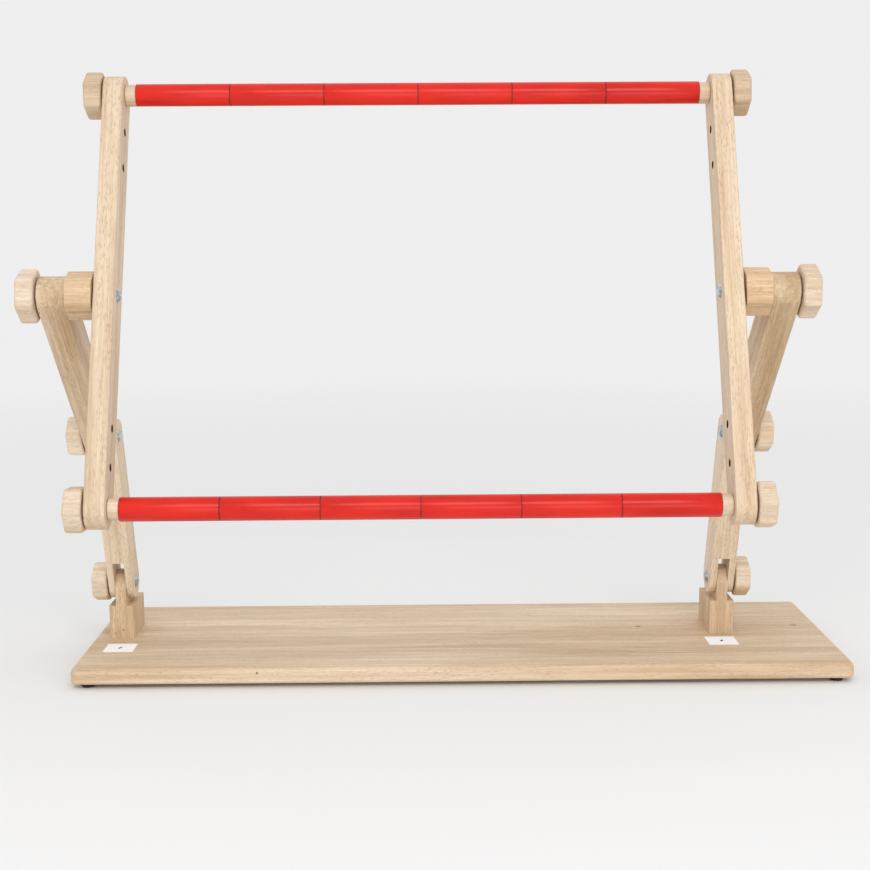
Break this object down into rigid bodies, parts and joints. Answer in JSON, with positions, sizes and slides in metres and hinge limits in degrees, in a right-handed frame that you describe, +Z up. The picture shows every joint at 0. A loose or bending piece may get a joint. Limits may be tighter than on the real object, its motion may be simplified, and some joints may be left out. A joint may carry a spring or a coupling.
{
  "type": "needlework scroll frame on table stand",
  "caption": "Wooden scroll frame for embroidery, held on a jointed table stand with a flat base board; bars turn, tilt and height set by hexagonal clamp knobs.",
  "frame": {"origin": "underside of the base board, at mid-depth, on the middle plane between the two side arms", "axes": "+X towards the right end of the board, along every pivot and bar; +Y from the front of the board to its back; +Z up; the frame leans out over the front, towards -Y"},
  "size_m": [0.9025, 0.47, 0.6814],
  "materials": {
    "beech": "fine sanded, unvarnished, short dark flecks along the grain",
    "zinc_steel": "bright zinc plate",
    "brass": "machined",
    "rubber": "matt black",
    "paper": "matt pale yellow",
    "red_plastic": "glossy red"
  },
  "bodies": {
    "base": {"base_board": "beech", "rubber_feet": "rubber", "foot_screws": "zinc_steel", "paper_labels": "paper", "pedestal_right": "beech", "pedestal_left": "beech", "pedestal_screws": "zinc_steel"},
    "lower_arms": {"lower_arm_right": "beech", "lower_arm_left": "beech", "base_bolts": "zinc_steel", "elbow_bolts": "zinc_steel", "base_washers": "zinc_steel"},
    "upper_arms": {"upper_arm_right": "beech", "upper_arm_left": "beech", "spacer_right": "beech", "spacer_left": "beech", "upper_arm_washers": "zinc_steel"},
    "frame": {"side_arm_right": "beech", "side_arm_left": "beech", "frame_bolts": "zinc_steel", "frame_washers": "zinc_steel"},
    "top_roller": {"top_bar": "beech", "top_studs": "zinc_steel", "top_clip_1": "red_plastic", "top_clip_2": "red_plastic", "top_clip_3": "red_plastic", "top_clip_4": "red_plastic", "top_clip_5": "red_plastic", "top_clip_6": "red_plastic"},
    "bottom_roller": {"bottom_bar": "beech", "bottom_studs": "zinc_steel", "bottom_clip_1": "red_plastic", "bottom_clip_2": "red_plastic", "bottom_clip_3": "red_plastic", "bottom_clip_4": "red_plastic", "bottom_clip_5": "red_plastic", "bottom_clip_6": "red_plastic"},
    "base_knob_right": {"base_knob_right": "beech", "base_insert_right": "brass"},
    "base_knob_left": {"base_knob_left": "beech", "base_insert_left": "brass"},
    "elbow_knob_right": {"elbow_knob_right": "beech", "elbow_insert_right": "brass"},
    "elbow_knob_left": {"elbow_knob_left": "beech", "elbow_insert_left": "brass"},
    "frame_knob_right": {"frame_knob_right": "beech", "frame_insert_right": "brass"},
    "frame_knob_left": {"frame_knob_left": "beech", "frame_insert_left": "brass"},
    "top_bar_knob_right": {"top_bar_knob_right": "beech", "top_bar_insert_right": "brass"},
    "top_bar_knob_left": {"top_bar_knob_left": "beech", "top_bar_insert_left": "brass"},
    "bottom_bar_knob_right": {"bottom_bar_knob_right": "beech", "bottom_bar_insert_right": "brass"},
    "bottom_bar_knob_left": {"bottom_bar_knob_left": "beech", "bottom_bar_insert_left": "brass"}
  },
  "joints": [
    {"name": "base_pivot", "type": "hinge", "parent": "base", "child": "lower_arms", "pos_m": [0, 0.0097, 0.0851], "axis": [1, 0, 0], "range_deg": [-50, 30]},
    {"name": "elbow_pivot", "type": "hinge", "parent": "lower_arms", "child": "upper_arms", "pos_m": [0, -0.05442, 0.27454], "axis": [1, 0, 0], "range_deg": [-95, 30]},
    {"name": "frame_pivot", "type": "hinge", "parent": "upper_arms", "child": "frame", "pos_m": [0, -0.22905, 0.44495], "axis": [1, 0, 0], "range_deg": [-100, 55]},
    {"name": "top_bar_turn", "type": "hinge", "parent": "frame", "child": "top_roller", "pos_m": [0, -0.14895, 0.652], "axis": [1, 0, 0], "continuous": true},
    {"name": "bottom_bar_turn", "type": "hinge", "parent": "frame", "child": "bottom_roller", "pos_m": [0, -0.30915, 0.23791], "axis": [1, 0, 0], "continuous": true},
    {"name": "base_knob_right_turn", "type": "hinge", "parent": "lower_arms", "child": "base_knob_right", "pos_m": [0.3918, 0.0097, 0.0851], "axis": [1, 0, 0], "continuous": true},
    {"name": "base_knob_left_turn", "type": "hinge", "parent": "lower_arms", "child": "base_knob_left", "pos_m": [-0.3918, 0.0097, 0.0851], "axis": [1, 0, 0], "continuous": true},
    {"name": "elbow_knob_right_turn", "type": "hinge", "parent": "lower_arms", "child": "elbow_knob_right", "pos_m": [0.399, -0.05442, 0.27454], "axis": [1, 0, 0], "continuous": true},
    {"name": "elbow_knob_left_turn", "type": "hinge", "parent": "lower_arms", "child": "elbow_knob_left", "pos_m": [-0.399, -0.05442, 0.27454], "axis": [1, 0, 0], "continuous": true},
    {"name": "frame_knob_right_turn", "type": "hinge", "parent": "frame", "child": "frame_knob_right", "pos_m": [0.399, -0.22905, 0.44495], "axis": [1, 0, 0], "continuous": true},
    {"name": "frame_knob_left_turn", "type": "hinge", "parent": "frame", "child": "frame_knob_left", "pos_m": [-0.399, -0.22905, 0.44495], "axis": [1, 0, 0], "continuous": true},
    {"name": "top_bar_knob_right_turn", "type": "hinge", "parent": "top_roller", "child": "top_bar_knob_right", "pos_m": [0.341, -0.14895, 0.652], "axis": [1, 0, 0], "continuous": true},
    {"name": "top_bar_knob_left_turn", "type": "hinge", "parent": "top_roller", "child": "top_bar_knob_left", "pos_m": [-0.341, -0.14895, 0.652], "axis": [1, 0, 0], "continuous": true},
    {"name": "bottom_bar_knob_right_turn", "type": "hinge", "parent": "bottom_roller", "child": "bottom_bar_knob_right", "pos_m": [0.341, -0.30915, 0.23791], "axis": [1, 0, 0], "continuous": true},
    {"name": "bottom_bar_knob_left_turn", "type": "hinge", "parent": "bottom_roller", "child": "bottom_bar_knob_left", "pos_m": [-0.341, -0.30915, 0.23791], "axis": [1, 0, 0], "continuous": true}
  ]
}
